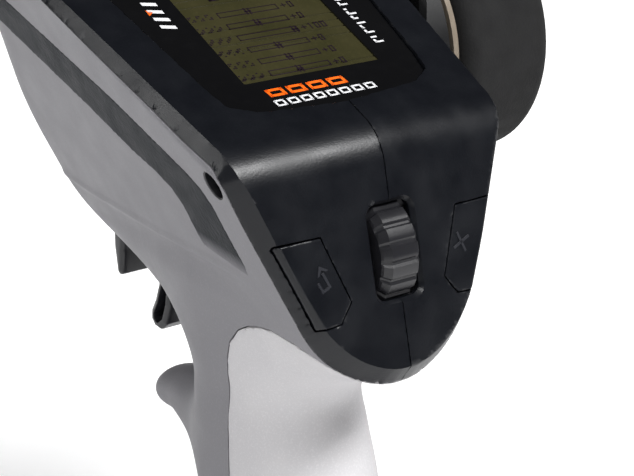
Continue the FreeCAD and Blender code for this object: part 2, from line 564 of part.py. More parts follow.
def base_parts():
    """The base: shells, battery tray, cells, contacts, door, feet and data socket."""
    def rounded(inset, z0, z1):
        x, y = BASE_HALF_X - inset, BASE_HALF_Y - inset
        box = block(-x, x, -y, y, z0, z1)
        return box.makeFillet(BASE_CORNER_R - inset, [e for e in box.Edges
                                                      if abs(e.tangentAt(e.FirstParameter).z) > 0.9])
    upper = rounded(0, 9.0, BASE_H - 1.0)
    top_edges = [e for e in upper.Edges if e.BoundBox.ZMin > BASE_H - 1.01]
    upper = upper.makeFillet(8.0, top_edges).cut(rounded(WALL, 0, BASE_H - 1.0 - 3.0))
    well = Part.makeCylinder(12.0, 20, Vector(0, 3, 25))
    socket = block(-6.5, 6.5, -60, -30, 14.0, 22.0)
    upper = upper.cut(well).cut(socket)
    write("base_upper_shell", upper.removeSplitter())
    tray = rounded(0, FLOOR_GAP, 9.0).cut(rounded(WALL, 3.4, 12.0))
    x1, y1 = BAY_HALF_X, BAY_HALF_Y
    tray = tray.fuse(block(-x1 - 1.6, x1 + 1.6, -y1 - 1.6, y1 + 1.6, 3.0, 20.0))
    for x, y in SCREW_PLACES:
        tray = tray.fuse(Part.makeCylinder(4.6, 8.0, Vector(x, y, FLOOR_GAP)))
    tray = tray.cut(block(-x1, x1, -y1, y1, 0, 18.6))
    tray = tray.cut(block(-30.7, 30.7, -31.0, 60, 0, 2.0)).cut(block(-32.2, 32.2, -31.0, 60, 1.8, 3.1))
    for x, y in SCREW_PLACES:
        tray = tray.cut(Part.makeCylinder(3.1, 4.0, Vector(x, y, 0)))
        tray = tray.cut(Part.makeCylinder(1.6, 20, Vector(x, y, 0)))
    write("base_lower_tray", tray)
    door = block(-30.5, 30.5, -30.8, 45.9, FLOOR_GAP, 2.0).fuse(block(-32.0, 32.0, -30.8, 45.9, 1.9, 3.0))
    write("battery_door", door.removeSplitter())
    write("door_pad", block(-26, 26, -26, 26, 0.0, FLOOR_GAP))
    write("base_feet", *[Part.makeCylinder(4.6, FLOOR_GAP, Vector(x, y, 0)).cut(
        Part.makeCylinder(3.1, 3, Vector(x, y, -1))) for x, y in SCREW_PLACES])
    cells, contacts = [], []
    half_l = CELL_L / 2
    for i in range(4):
        x = -22.35 + 14.9 * i
        cells.append(tube(CELL_R, Vector(x, -half_l, 11.0), Vector(x, half_l - 1.2, 11.0)).fuse(
            tube(2.7, Vector(x, half_l - 1.2, 11.0), Vector(x, half_l, 11.0))))
        contacts.append(block(x - 4, x + 4, half_l, half_l + 0.4, 7, 15))
        contacts.append(block(x - 4, x + 4, -BAY_HALF_Y, -BAY_HALF_Y + 0.4, 7, 15))
    write("battery_cells", *cells)
    write("battery_contacts", *contacts)
    write("contact_springs", *[spring(3.4, 0.45, 2.6, 2, Vector(-22.35 + 14.9 * i, -BAY_HALF_Y + 0.9, 11.0),
                                      Y_AXIS) for i in range(4)])
    socket_body = block(-6.3, 6.3, -45.6, -36, 14.2, 21.8)
    write("data_socket", socket_body.cut(block(-4.8, 4.8, -47, -38, 15.6, 20.4)))
    write("case_screws", *[pan_screw(Vector(x, y, 4.0), Z_AXIS, 1.5, 9.0) for x, y in SCREW_PLACES])


os.makedirs("parts", exist_ok=True)
casings()
display()
roller_parts()
steering()
trigger_parts()
top_controls()
base_parts()
print(len(written), "nodes")
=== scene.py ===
"""Looks of a pistol-grip radio controller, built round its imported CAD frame.

Outer mouldings are described as fields: a function that is negative inside a moulding, in
millimetres of the frame. mesh_field turns a field into a mesh that keeps its sharp edges.
"""
import json
import math

import bpy
import numpy as np
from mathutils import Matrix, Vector

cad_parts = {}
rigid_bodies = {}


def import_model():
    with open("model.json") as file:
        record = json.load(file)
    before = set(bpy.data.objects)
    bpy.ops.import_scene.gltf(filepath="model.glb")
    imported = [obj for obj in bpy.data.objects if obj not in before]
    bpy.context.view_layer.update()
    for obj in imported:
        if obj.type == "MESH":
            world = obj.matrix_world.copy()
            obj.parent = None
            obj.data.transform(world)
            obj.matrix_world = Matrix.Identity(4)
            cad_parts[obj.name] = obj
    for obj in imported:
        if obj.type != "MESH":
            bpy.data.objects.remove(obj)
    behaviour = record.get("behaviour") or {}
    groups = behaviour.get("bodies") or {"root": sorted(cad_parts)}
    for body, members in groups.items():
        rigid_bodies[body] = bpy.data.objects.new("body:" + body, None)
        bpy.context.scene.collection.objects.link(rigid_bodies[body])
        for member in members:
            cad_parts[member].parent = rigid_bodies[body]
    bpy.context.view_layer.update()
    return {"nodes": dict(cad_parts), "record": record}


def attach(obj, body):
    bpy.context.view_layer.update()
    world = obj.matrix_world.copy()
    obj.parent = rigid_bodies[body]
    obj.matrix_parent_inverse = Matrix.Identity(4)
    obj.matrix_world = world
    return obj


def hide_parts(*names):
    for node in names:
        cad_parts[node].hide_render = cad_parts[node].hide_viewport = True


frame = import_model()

MM = 0.001                              # metres in a millimetre
MAIN = "handset"

# ---- driving dimensions, in millimetres ----------------------------------------------------
TILT = math.radians(21.5)               # slope of the top face
DISPLAY_EDGE = np.array((0.0, -4.0, 205.0))     # middle of the display's lower edge
TOP_CENTRE, TOP_FALL = 3.2, 0.05        # top face above the display, and its fall to each side
BACK_AT_ZERO, BACK_RISE, BACK_FALL = 41.0, 1.404, 0.109     # back face in the display's frame
ROLL_RADIUS = 12.0                      # roll-over between them
BEVEL = math.radians(50)                # bevel round the head, from its face
RIM_WIDTH = 6.2                         # bevel's width round the chin
WALL, GAP = 2.2, 0.3                    # moulded wall, and the gap along a seam
SLOT_HALF_W, SLOT_TOP, SLOT_BOTTOM = 5.5, 1.0, 21.6        # roller slot
SLOT_CORNER, SLOT_FLARE = 2.4, 0.9
SIDE_HOLE, SIDE_HOLE_R = (-20.8, 191.0), 3.35
SIDE_HOLE_DEPTH = 9.0
WHEEL_Y, WHEEL_Z = 38.0, 195.0
WHEEL_BORE_R, WHEEL_BORE_INSIDE = 13.0, 20.0    # hole for the wheel's shaft, and how far in it starts
CONTROLS_U = 80.5                       # row of controls ahead of the display
POWER_HOLE_R, KNOB_X, KNOB_HOLE_R = 6.3, 34.0, 6.4
ROCKER_X, ROCKER_HOLE, ROCKER_CORNER = 17.0, (3.5, 6.0), 0.8
CONTROLS_DEPTH = 12.0                   # how deep the holes for the controls go
WINDOW_U, WINDOW_HALF = 29.4, (17.6, 30.5)      # the display's window
HALF_STEP = 0.22                        # left half of the head lies this far under the right one
COVER_CORNER, KEY_CORNER = 1.6, 0.5     # corner radii of the screen cover and of the edge keys
PAD_WALL, PAD_PROUD = 1.7, 0.15         # rubber pad's thickness, and how far it stands out
PAD_RECESS, PAD_GAP = 2.0, 0.2          # its bed in the grip, and the gap round it
MIDDLE_GAP = 0.04                       # half of the gap between the left and right mouldings
KEY_OPENING, KEY_PLAY, COVER_GAP = 0.2, 0.14, 0.15      # openings grow and caps shrink by these
# roundings of edges and fillets
ROUND = {"nose_top": 4.0, "nose_front": 6.0, "nose_corner": 3.0, "belly": 8.0, "rim": 2.5, "walls": 5.0,
         "bevel": 0.3, "outer_edge": 0.5, "head_middle": 0.35, "key_opening": 0.45, "cover_edge": 0.5,
         "body_middle": 0.3, "trigger_slot": 1.0, "horn": 6.0, "pad": 0.9, "key": 0.35, "inlay": 0.5,
         "trigger_lobes": 2.5, "trigger_hub": 3.0, "trigger_sides": 1.6, "trigger_pocket": 0.4}

# head's edge seen along the display's normal: half-width and place forwards
STRAIGHT_EDGE = [(46.8, 90.0), (34.6, -20.0)]
ROLL_EDGE = [(34.6, -20.0), (34.2, -23.5), (33.2, -26.6), (31.7, -29.0)]
CHIN_EDGE = [(24.0, -41.2), (18.2, -48.5), (10.1, -53.5), (0.0, -55.7)]
# depth of the seam under the face at places along the head
SEAM_U = (-56.0, -48.0, -42.0, -36.0, -30.0, -26.5, -23.5, -20.0, -10.0, 0.0, 90.0)
SEAM_DEPTH = (4.9, 4.7, 4.1, 3.95, 4.1, 3.8, 3.35, 3.4, 3.6, 3.4, 3.2)
# nose outline in forwards and height
NOSE = [(79.0, 241.0), (94.0, 230.0), (97.0, 184.0), (86.0, 149.4), (46.0, 143.0)]
# grip sections: height, back, front, half-width
GRIP = [(37.0, -28.0, 34.0, 22.5), (44.0, -25.0, 30.5, 19.5), (58.0, -24.5, 29.5, 17.6),
        (76.0, -24.5, 31.0, 17.0), (94.0, -23.0, 33.0, 17.0), (110.0, -19.5, 34.5, 17.0),
        (120.0, -15.5, 34.0, 16.8), (129.0, -13.0, 33.5, 16.6), (137.0, -19.5, 34.5, 16.5),
        (144.0, -30.0, 36.0, 16.5), (151.0, -34.0, 38.0, 16.5)]
GRIP_POWER, GRIP_TOP = 2.35, 156.0      # squareness of the sections, and where the grip ends inside the body
# finger horn sections: forwards, middle height, half-height, half-width
HORN = [(20.0, 103.0, 17.0, 11.5), (24.0, 104.0, 15.0, 11.0), (38.0, 107.0, 10.5, 9.6),
        (50.0, 107.5, 7.0, 7.4), (60.0, 105.3, 4.4, 5.4), (64.5, 104.5, 1.2, 2.0)]
HORN_ROOT = 12.0                        # horn starts here, inside the grip
# grip pad's edge on the side: forwards and height
PAD = [(5.0, 39.0), (4.8, 107.0), (5.4, 120.0), (4.6, 134.0), (3.4, 139.2), (1.0, 144.1), (-3.5, 148.6),
       (-8.0, 151.2), (-12.6, 152.9), (-17.7, 154.0), (-27.2, 154.0), (-32.0, 152.8), (-36.0, 150.0),
       (-60.0, 143.0), (-60.0, 39.0)]
# side inlay outline on the side wall: forwards and height
INLAY = [(80.0, 217.0), (18.0, 199.6), (-8.7, 190.2), (-13.0, 187.8), (-15.6, 184.5), (-17.0, 179.0),
         (-19.4, 171.0), (-18.9, 168.5), (-12.0, 168.3), (0.6, 168.9), (1.6, 172.1), (2.6, 178.0),
         (5.4, 181.6), (11.1, 184.0), (20.9, 186.4), (38.9, 192.6), (80.0, 205.0)]
INLAY_MIDDLE, INLAY_HALF = 0.7, 0.75    # inlay plate's middle under the wall, and half its thickness
INLAY_DEPTH, INLAY_LAP = 4.5, 0.5       # recess for the inlay, and how far the inlay laps over its edge
POD_CUT = 3.0                           # right-hand inlay ends here, at the wheel's pod
CREASE = ((-17.5, 0.5, 29.5, 71.6), (167.2, 165.4, 162.4, 159.4))     # crest along the side wall
CREASE_START, CREASE_RUN = -18.0, 14.0  # where the crest starts, and the stretch over which it rises
CREASE_SLOPE, CREASE_REACH = 0.03, 16.0         # the wall's fall inwards under it, and how far down
CREST, CREST_WIDTH = 0.40, 1.0          # the crest's height and half-width
# how far the fillet between grip and body reaches, at places forwards, and its share lost above the crest
BLEND_Y, BLEND = (-32.0, -12.0, 15.0, 40.0, 70.0), (1.5, 8.0, 15.0, 15.0, 22.0)
BLEND_LOST, BLEND_FADE = 0.7, (10.0, 12.0)      # BLEND_FADE: start under the crest, and length upwards
# right half of the screen cover's outline: across and along the display
SCREEN_COVER = [(0, -14.4), (20, -11.4), (25.6, -7.6), (26.9, -1.0), (34.6, 68.0),
                (30.5, 72.5), (0, 74.0)]
# edge key: across, and down the back face
KEY_OUTLINE = [(17.5, 5.0), (12.2, 19.6), (15.3, 23.8), (20.6, 24.2), (28.4, 5.0)]
TRIGGER_Y, TRIGGER_Z, TRIGGER_HALF_W = 60.0, 163.0, 7.0
HUB_R, PIN_R = 6.4, 1.5
# pocket in each side of the hook: its floor's distance from the middle, its top, and the rim left round it
POCKET_FLOOR, POCKET_TOP, POCKET_RIM = 3.0, 150.0, 1.8
TRIGGER_SLOT = (7.6, 61.2, 24.8, 139.0, 21.0)   # half-width; middle and half-length; height and half-height
# trigger's front lobe and its hook: forwards and height
FRONT_LOBE = [(60.0, 168.0), (70.0, 164.0), (75.4, 156.0), (77.2, 148.0), (77.4, 140.0), (76.2, 133.0),
              (75.0, 132.3), (73.4, 133.2), (72.8, 140.0), (71.0, 147.0), (65.0, 152.5), (58.0, 156.0)]
HOOK = [(60.0, 158.0), (55.6, 150.0), (53.8, 143.0), (54.4, 137.0), (56.4, 132.2), (58.6, 128.6),
        (58.8, 126.0), (57.0, 124.3), (54.4, 124.2), (51.2, 126.8), (49.0, 132.0), (47.6, 140.0),
        (49.4, 150.0), (54.5, 162.0)]


# ---- frames --------------------------------------------------------------------------------
FORWARD = np.array((0.0, math.cos(TILT), math.sin(TILT)))
TOP_N = np.array((0.0, -math.sin(TILT), math.cos(TILT)))
SIDE_N = np.array((0.925, 0.055, -0.376)) / np.linalg.norm((0.925, 0.055, -0.376))
SIDE_POINT = np.array((39.56, 0.0, 205.0))


def screen(x, u, w):
    """A point given across, along and above the display."""
    return DISPLAY_EDGE + np.array((x, 0.0, 0.0)) + u * FORWARD + w * TOP_N


def unit(v):
    """A vector's direction."""
    return np.asarray(v, float) / np.linalg.norm(v)


BACK_ORIGIN = screen(0, -34.7, BACK_AT_ZERO - BACK_RISE * 34.7)
BACK_DOWN = unit(-FORWARD - BACK_RISE * TOP_N)
BACK_N = np.cross((1.0, 0.0, 0.0), BACK_DOWN)
BACK_N = BACK_N if BACK_N[1] < 0 else -BACK_N
HALF_N = unit(np.array((BACK_FALL, 0, 0)) - BACK_RISE * FORWARD + TOP_N)   # right half of the back
INSIDE = (0, 20, 180)                   # a point well inside the head
# slanting corner between the side wall and the nose
NOSE_CORNER = np.array((48.0, 72.0, 225.0))
NOSE_CORNER_N = unit(np.cross((-4.0, 0.0, -35.0), (-21.0, 25.0, 0.0)))


def side_x(y, z):
    """Half-width of the side wall at a place."""
    return SIDE_POINT[0] - (SIDE_N[1] * y + SIDE_N[2] * (z - SIDE_POINT[2])) / SIDE_N[0]


# ---- fields --------------------------------------------------------------------------------
def halfspace(p, point, normal):
    """Distance out of a plane through a point."""
    return (p - point) @ normal


def soft_max(a, b, k):
    """The larger of two fields, with the edge between them rounded."""
    h = np.maximum(k - np.abs(a - b), 0.0) / k
    return np.maximum(a, b) + h * h * k * 0.25


def soft_min(a, b, k):
    """The smaller of two fields, with a fillet between them."""
    return -soft_max(-a, -b, k)


def outline(x, y, points):
    """Signed distance to a closed polygon in a plane, negative inside."""
    points = np.asarray(points, float)
    best = np.full(x.shape, 1e9)
    sign = np.ones(x.shape)
    for (ax, ay), (bx, by) in zip(points, np.roll(points, 1, axis=0)):
        ex, ey = bx - ax, by - ay
        wx, wy = x - ax, y - ay
        t = np.clip((wx * ex + wy * ey) / (ex * ex + ey * ey), 0, 1)
        best = np.minimum(best, (wx - ex * t) ** 2 + (wy - ey * t) ** 2)
        above, below, left = y >= ay, y < by, ex * wy > ey * wx
        flip = (above & below & left) | (~above & ~below & ~left)
        sign = np.where(flip, -sign, sign)
    return sign * np.sqrt(best)


def both_sides(points):
    """An outline of the right half, closed by its mirror image."""
    return points + [(-x, y) for x, y in reversed(points) if x]


def screen_uw(p):
    """Places along and above the display."""
    d = p - DISPLAY_EDGE
    return d @ FORWARD, d @ TOP_N


def faces(p):
    """The top face and the back face with the roll-over between them."""
    x = np.abs(p[:, 0])
    u, w = screen_uw(p)
    n_top, n_back = math.hypot(1, TOP_FALL), math.sqrt(1 + BACK_FALL ** 2 + BACK_RISE ** 2)
    a = (w - TOP_CENTRE + TOP_FALL * x) / n_top + ROLL_RADIUS
    b = (w + BACK_FALL * x - BACK_RISE * u - BACK_AT_ZERO) / n_back + ROLL_RADIUS
    c = (1 + TOP_FALL * BACK_FALL) / (n_top * n_back)
    corner = np.sqrt(np.maximum(a * a + b * b - 2 * a * b * c, 0.0) / (1 - c * c))
    return np.where((a > b * c) & (b > a * c), corner, np.maximum(a, b)) - ROLL_RADIUS


def gradient(field, p, eps=0.01):
    """Unit normals of a field at points."""
    g = np.empty_like(p)
    for i in range(3):
        d = np.zeros(3)
        d[i] = eps
        g[:, i] = field(p + d) - field(p - d)
    return g / np.maximum(np.linalg.norm(g, axis=1, keepdims=True), 1e-12)


def on_face(x, u):
    """The point of the rolled faces above a place of the display's plane."""
    low, high = -60.0, 10.0
    for _ in range(40):
        middle = (low + high) / 2
        if faces(screen(x, u, middle)[None])[0] > 0:
            high = middle
        else:
            low = middle
    return screen(x, u, low)


def catmull(points, steps):
    """A smooth line through points, mirrored at its last one."""
    points = [np.asarray(q, float) for q in points]
    ghost = points[-2] * np.array((-1.0, 1.0))
    line = [2 * points[0] - points[1]] + points + [ghost]
    out = []
    for a, b, c, d in zip(line, line[1:], line[2:], line[3:]):
        for k in range(steps):
            t = k / steps
            out.append(0.5 * (2 * b + (c - a) * t + (2 * a - 5 * b + 4 * c - d) * t ** 2
                              + (3 * b - 3 * c + d - a) * t ** 3))
    return out + [points[-1]]


def bevel_plane(middle, out, normal, chin):
    """A bevel's normal: a stated angle round the chin, elsewhere one that meets the side at the seam."""
    depth = float(np.interp((middle - DISPLAY_EDGE) @ FORWARD, SEAM_U, SEAM_DEPTH))
    reach = -(middle - depth * normal - SIDE_POINT) @ SIDE_N / (out @ SIDE_N)
    if chin or reach < 0.3 * depth:
        return out * math.sin(BEVEL) + normal * math.cos(BEVEL)
    return unit(out * depth + normal * reach)


def edge_planes():
    """Bevel planes all along the right half of the head's edge, and rim planes round its chin."""
    bevels, rims = [], []
    runs = [(STRAIGHT_EDGE, False), (ROLL_EDGE, False), ([ROLL_EDGE[-1], CHIN_EDGE[0]], False),
            (catmull(CHIN_EDGE, 5), True)]
    for run, chin in runs:
        for a, b in zip(run[:-1], run[1:]):
            p, q = on_face(*a), on_face(*b)
            middle = ((p + q) / 2)[None]
            normal = gradient(faces, middle)[0]
            out = unit(np.cross(q - p, normal))
            out = out if out @ (middle[0] - INSIDE) > 0 else -out
            bevels.append((p, bevel_plane(middle[0], out, normal, chin)))
            if chin:
                rims.append((p + out * RIM_WIDTH * math.cos(BEVEL), out))
    return bevels, rims


BEVELS, RIMS = edge_planes()


def mirror_x(p):
    """Points folded over to the right side."""
    q = p.copy()
    q[:, 0] = np.abs(q[:, 0])
    return q


def under_crease(p):
    """How far points are under the crest along the side wall."""
    return np.interp(p[:, 1], *CREASE) - p[:, 2]


def hull(p):
    """The head and body without the grip."""
    q = mirror_x(p)
    bevel = np.max([halfspace(q, *plane) for plane in BEVELS], axis=0)
    rim = np.max([halfspace(q, *plane) for plane in RIMS], axis=0)
    side = halfspace(q, SIDE_POINT, SIDE_N)
    rise = np.clip((q[:, 1] - CREASE_START) / CREASE_RUN, 0, 1)
    side = side + CREASE_SLOPE * np.clip(under_crease(q), 0, CREASE_REACH) * rise
    under = []
    for (y0, z0), (y1, z1) in zip(NOSE[:-1], NOSE[1:]):
        under.append(halfspace(q, np.array((0, y0, z0)), unit((0, z0 - z1, y1 - y0))))
    corner = halfspace(q, NOSE_CORNER, NOSE_CORNER_N)
    nose = soft_max(soft_max(under[0], under[1], ROUND["nose_top"]), under[2], ROUND["nose_front"])
    nose = soft_max(soft_max(nose, corner, ROUND["nose_corner"]), under[3], ROUND["belly"])
    walls = soft_max(soft_max(side, rim, ROUND["rim"]), nose, ROUND["walls"])
    return soft_max(soft_max(faces(p), bevel, ROUND["bevel"]), walls, ROUND["outer_edge"])


def ease(t):
    """A smooth step from 0 to 1."""
    t = np.clip(t, 0, 1)
    return t * t * (3 - 2 * t)


def grip(p):
    """The grip: rounded oval sections, stacked."""
    table = np.array(GRIP)
    z = p[:, 2]
    y0, y1, wide = (smooth_interp(z, table[:, 0], table[:, k]) for k in (1, 2, 3))
    middle, reach = (y0 + y1) / 2, (y1 - y0) / 2
    a = np.abs(p[:, 0]) / wide
    b = np.abs(p[:, 1] - middle) / reach
    radial = (a ** GRIP_POWER + b ** GRIP_POWER) ** (1 / GRIP_POWER)
    size = np.minimum(wide, reach)
    return np.maximum(np.maximum((radial - 1) * size, z - GRIP_TOP), GRIP[0][0] - z)


def smooth_interp(t, ts, values):
    """Cubic interpolation with tangents from the neighbours."""
    slope = np.gradient(values, ts)
    i = np.clip(np.searchsorted(ts, t) - 1, 0, len(ts) - 2)
    h = ts[i + 1] - ts[i]
    s = np.clip((t - ts[i]) / h, 0, 1)
    return ((2 * s ** 3 - 3 * s ** 2 + 1) * values[i] + (s ** 3 - 2 * s ** 2 + s) * h * slope[i]
            + (3 * s ** 2 - 2 * s ** 3) * values[i + 1] + (s ** 3 - s ** 2) * h * slope[i + 1])


def horn(p):
    """The finger horn under the trigger."""
    table = np.array(HORN)
    y = p[:, 1]
    z, high, wide = (smooth_interp(y, table[:, 0], table[:, k]) for k in (1, 2, 3))
    radial = np.hypot(p[:, 0] / wide, (p[:, 2] - z) / high)
    return np.maximum((radial - 1) * np.minimum(high, wide), np.maximum(y - HORN[-1][0], HORN_ROOT - y))


def seam_depth(p):
    """How far under the faces the seam between the dark head and the light body lies."""
    u, _ = screen_uw(p)
    return np.interp(u, SEAM_U, SEAM_DEPTH)


def slot(p, grow=0.0):
    """The roller's slot, with round corners."""
    down = (p - BACK_ORIGIN) @ BACK_DOWN
    return rounded_box(p[:, 0], down, (0, (SLOT_TOP + SLOT_BOTTOM) / 2),
                       (SLOT_HALF_W + grow, (SLOT_BOTTOM - SLOT_TOP) / 2 + grow), SLOT_CORNER + grow)


def rounded_box(x, y, centre, half, radius):
    """Signed distance to a rectangle with round corners."""
    dx = np.abs(x - centre[0]) - (half[0] - radius)
    dy = np.abs(y - centre[1]) - (half[1] - radius)
    return np.hypot(np.maximum(dx, 0), np.maximum(dy, 0)) + np.minimum(np.maximum(dx, dy), 0) - radius


def inset(points, distance):
    """A convex outline moved inwards, so that growing it again rounds its corners."""
    points = np.asarray(points, float)
    out = []
    for a, b, c in zip(np.roll(points, 1, 0), points, np.roll(points, -1, 0)):
        first, second = unit(b - a), unit(c - b)
        n1, n2 = np.array((-first[1], first[0])), np.array((-second[1], second[0]))
        turn = 1 if first[0] * second[1] > first[1] * second[0] else -1
        out.append(b + (n1 + n2) * turn * distance / (1 + n1 @ n2))
    return out


def key_shape(p):
    """The edge key's outline, swept square to the right half of the back face."""
    q = p - np.outer((p - BACK_ORIGIN) @ HALF_N, HALF_N)
    return outline(q[:, 0], (q - BACK_ORIGIN) @ BACK_DOWN, inset(KEY_OUTLINE, KEY_CORNER)) - KEY_CORNER


def cover_outline(p, grow=0.0):
    """The screen cover's outline with round corners."""
    u, _ = screen_uw(p)
    core = inset(both_sides(SCREEN_COVER), COVER_CORNER)
    return outline(p[:, 0], u, core) - COVER_CORNER - grow


def side_hole_mouth():
    y, z = SIDE_HOLE
    return np.array((side_x(y, z), y, z))


def side_hole(p):
    """The round hole, square to the right side wall."""
    d = p - side_hole_mouth()
    return np.linalg.norm(d - np.outer(d @ SIDE_N, SIDE_N), axis=1) - SIDE_HOLE_R


# ---- meshing -------------------------------------------------------------------------------
PULL_TO_MIDDLE = 0.03                   # draws a vertex to the middle of its crossings
CELL_SLACK = 0.25                       # how far a vertex may leave its cell, in cells


def sample(field, axes):
    """Field values on a grid, one slice at a time."""
    value = np.empty([len(axis) for axis in axes])
    yy, zz = np.meshgrid(axes[1], axes[2], indexing="ij")
    for i, x in enumerate(axes[0]):
        points = np.stack([np.full(yy.size, x), yy.ravel(), zz.ravel()], 1)
        value[i] = field(points).reshape(yy.shape)
    return value


def crossing_points(field, start, direction, f0, f1):
    """Where edges of the grid cross the surface, by false position."""
    t0, t1 = np.zeros(len(start)), np.ones(len(start))
    t = f0 / (f0 - f1)
    for _ in range(3):
        f = field(start + t[:, None] * direction)
        left = (f < 0) == (f0 < 0)
        t0, f0 = np.where(left, t, t0), np.where(left, f, f0)
        t1, f1 = np.where(left, t1, t), np.where(left, f1, f)
        t = np.clip(t0 + (t1 - t0) * f0 / (f0 - f1 + 1e-30), 0, 1)
    return start + t[:, None] * direction


def crossings_along(axis, field, value, low, step):
    """Crossings of the grid's edges along one axis, their four cells, and the quads these make."""
    cells = np.array(value.shape) - 1
    here = [slice(None)] * 3
    there = [slice(None)] * 3
    here[axis], there[axis] = slice(0, -1), slice(1, None)
    before, after = value[tuple(here)], value[tuple(there)]
    changed = (before < 0) != (after < 0)
    ids = np.argwhere(changed)
    points = crossing_points(field, low + ids * step, np.eye(3)[axis] * step,
                             before[changed], after[changed])
    second, third = (axis + 1) % 3, (axis + 2) % 3
    around = []
    for back_second, back_third in ((0, 0), (1, 0), (1, 1), (0, 1)):
        cell = ids.copy()
        cell[:, second] -= back_second
        cell[:, third] -= back_third
        around.append(cell)
    around = np.stack(around, 1)
    whole = np.all((around >= 0) & (around < cells), axis=(1, 2))
    around = around[whole]
    flat = (around[..., 0] * cells[1] + around[..., 1]) * cells[2] + around[..., 2]
    outward = before[changed][whole] < 0
    return points[whole], flat, np.where(outward[:, None], flat, flat[:, ::-1])


def cell_vertices(points, normals, index, total):
    """One vertex for each cell, nearest to all the tangent planes of its crossings."""
    def gather(weights):
        return sum(np.bincount(index[:, k], weights=weights, minlength=total) for k in range(4))

    amount = gather(np.ones(len(points)))
    middle = np.stack([gather(points[:, i]) for i in range(3)], 1) / amount[:, None]
    matrix = np.empty((total, 3, 3))
    for i in range(3):
        for j in range(i, 3):
            matrix[:, i, j] = matrix[:, j, i] = gather(normals[:, i] * normals[:, j])
    offset = np.einsum("ij,ij->i", normals, points)
    wanted = np.stack([gather(normals[:, i] * offset) for i in range(3)], 1)
    rest = wanted - np.einsum("nij,nj->ni", matrix, middle)
    matrix += np.eye(3) * PULL_TO_MIDDLE
    return middle + np.linalg.solve(matrix, rest[..., None])[..., 0]


def mesh_field(field, low, high, step):
    """Vertices and quads of a field's zero surface, with its sharp edges kept."""
    low = np.asarray(low, float)
    count = np.ceil((np.asarray(high, float) - low) / step).astype(int) + 1
    value = sample(field, [low[i] + step * np.arange(count[i]) for i in range(3)])
    found = [crossings_along(axis, field, value, low, step) for axis in range(3)]
    points, flat, quads = (np.concatenate(parts) for parts in zip(*found))
    normals = gradient(field, points)
    used, index = np.unique(flat, return_inverse=True)
    vertices = cell_vertices(points, normals, index.reshape(flat.shape), len(used))
    floor = low + np.stack(np.unravel_index(used, count - 1), 1) * step
    vertices = np.clip(vertices, floor - CELL_SLACK * step, floor + (1 + CELL_SLACK) * step)
    return vertices, np.searchsorted(used, quads)


def add_mesh(name, vertices, polygons, body=MAIN, slot_name=None, replaces=(), smooth=32.0):
    """A piece from vertices in millimetres."""
    mesh = bpy.data.meshes.new(name)
    mesh.from_pydata((np.asarray(vertices) * MM).tolist(), [], np.asarray(polygons).tolist()
                     if isinstance(polygons, np.ndarray) else polygons)
    mesh.validate()
    mesh.shade_smooth()
    mesh.set_sharp_from_angle(angle=math.radians(smooth))
    piece = bpy.data.objects.new(name, mesh)
    bpy.context.scene.collection.objects.link(piece)
    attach(piece, body)
    for node in replaces:
        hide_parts(node)
    return piece


def field_piece(name, field, low, high, step, **kwargs):
    """A piece from the surface of a field."""
    vertices, quads = mesh_field(field, low, high, step)
    return add_mesh(name, vertices, quads, **kwargs)


def add_pair(name, node, right, left, **kwargs):
    """A right-hand piece, and a left-hand one given as its mirror image."""
    add_mesh(name + "_right", *right, replaces=(node + "_right",), **kwargs)
    add_mesh(name + "_left", left[0] * (-1, 1, 1), left[1][:, ::-1], replaces=(node + "_left",),
             **kwargs)


def mirror_pair(name, field, low, high, step, bodies, nodes, **kwargs):
    """The right-hand piece from its field, and its mirror image."""
    vertices, quads = mesh_field(field, low, high, step)
    add_mesh(name + "_right", vertices, quads, body=bodies[0], replaces=nodes[:1], **kwargs)
    add_mesh(name + "_left", vertices * (-1, 1, 1), quads[:, ::-1], body=bodies[1],
             replaces=nodes[1:], **kwargs)


# ---- outer mouldings -----------------------------------------------------------------------
def head_field(drop):
    """One half of the dark head, drop under the other one along the seam between them."""
    def field(p):
        outer = np.maximum(hull(p), faces(p) + drop)
        skin = np.maximum(outer, -(faces(p) + seam_depth(p)))
        skin = np.maximum(skin, -(outer + WALL))
        skin = soft_max(skin, MIDDLE_GAP - p[:, 0], ROUND["head_middle"])
        skin = soft_max(skin, -(key_shape(p) - KEY_OPENING), ROUND["key_opening"])
        flared_slot = slot(p, SLOT_FLARE) - faces(p) * SLOT_FLARE
        skin = np.maximum(skin, -np.minimum(slot(p), flared_slot))
        skin = soft_max(skin, -cover_outline(p, COVER_GAP), ROUND["cover_edge"])
        return np.maximum(skin, -top_openings(p))
    return field


def top_openings(p):
    """Negative inside the holes for the controls ahead of the display."""
    u, w = screen_uw(p)
    v = u - CONTROLS_U
    power = np.hypot(p[:, 0], v) - POWER_HOLE_R
    rocker = rounded_box(p[:, 0], v, (ROCKER_X, 0.0), ROCKER_HOLE, ROCKER_CORNER)
    knob = np.hypot(p[:, 0] - KNOB_X, v) - KNOB_HOLE_R
    holes = np.minimum(np.minimum(power, rocker), knob)
    return np.maximum(holes, -w - CONTROLS_DEPTH)


def body_form(p):
    """The light body's form with its grip and horn, and the crest along its sides."""
    blend = np.interp(p[:, 1], BLEND_Y, BLEND)
    below = under_crease(p)
    forward = ease((p[:, 1] - CREASE_START) / CREASE_RUN)
    blend = blend * (1 - BLEND_LOST * forward * ease((BLEND_FADE[0] - below) / BLEND_FADE[1]))
    fade = forward * ease((np.abs(p[:, 0]) - 14) / 4)
    form = soft_min(hull(p), grip(p), blend) - CREST * fade * np.exp(-(below / CREST_WIDTH) ** 2)
    return np.maximum(soft_min(form, horn(p), ROUND["horn"]), faces(p) + seam_depth(p) + GAP)


def pad_region(p):
    """Negative where the rubber pad covers the grip."""
    return outline(p[:, 1], p[:, 2], PAD)


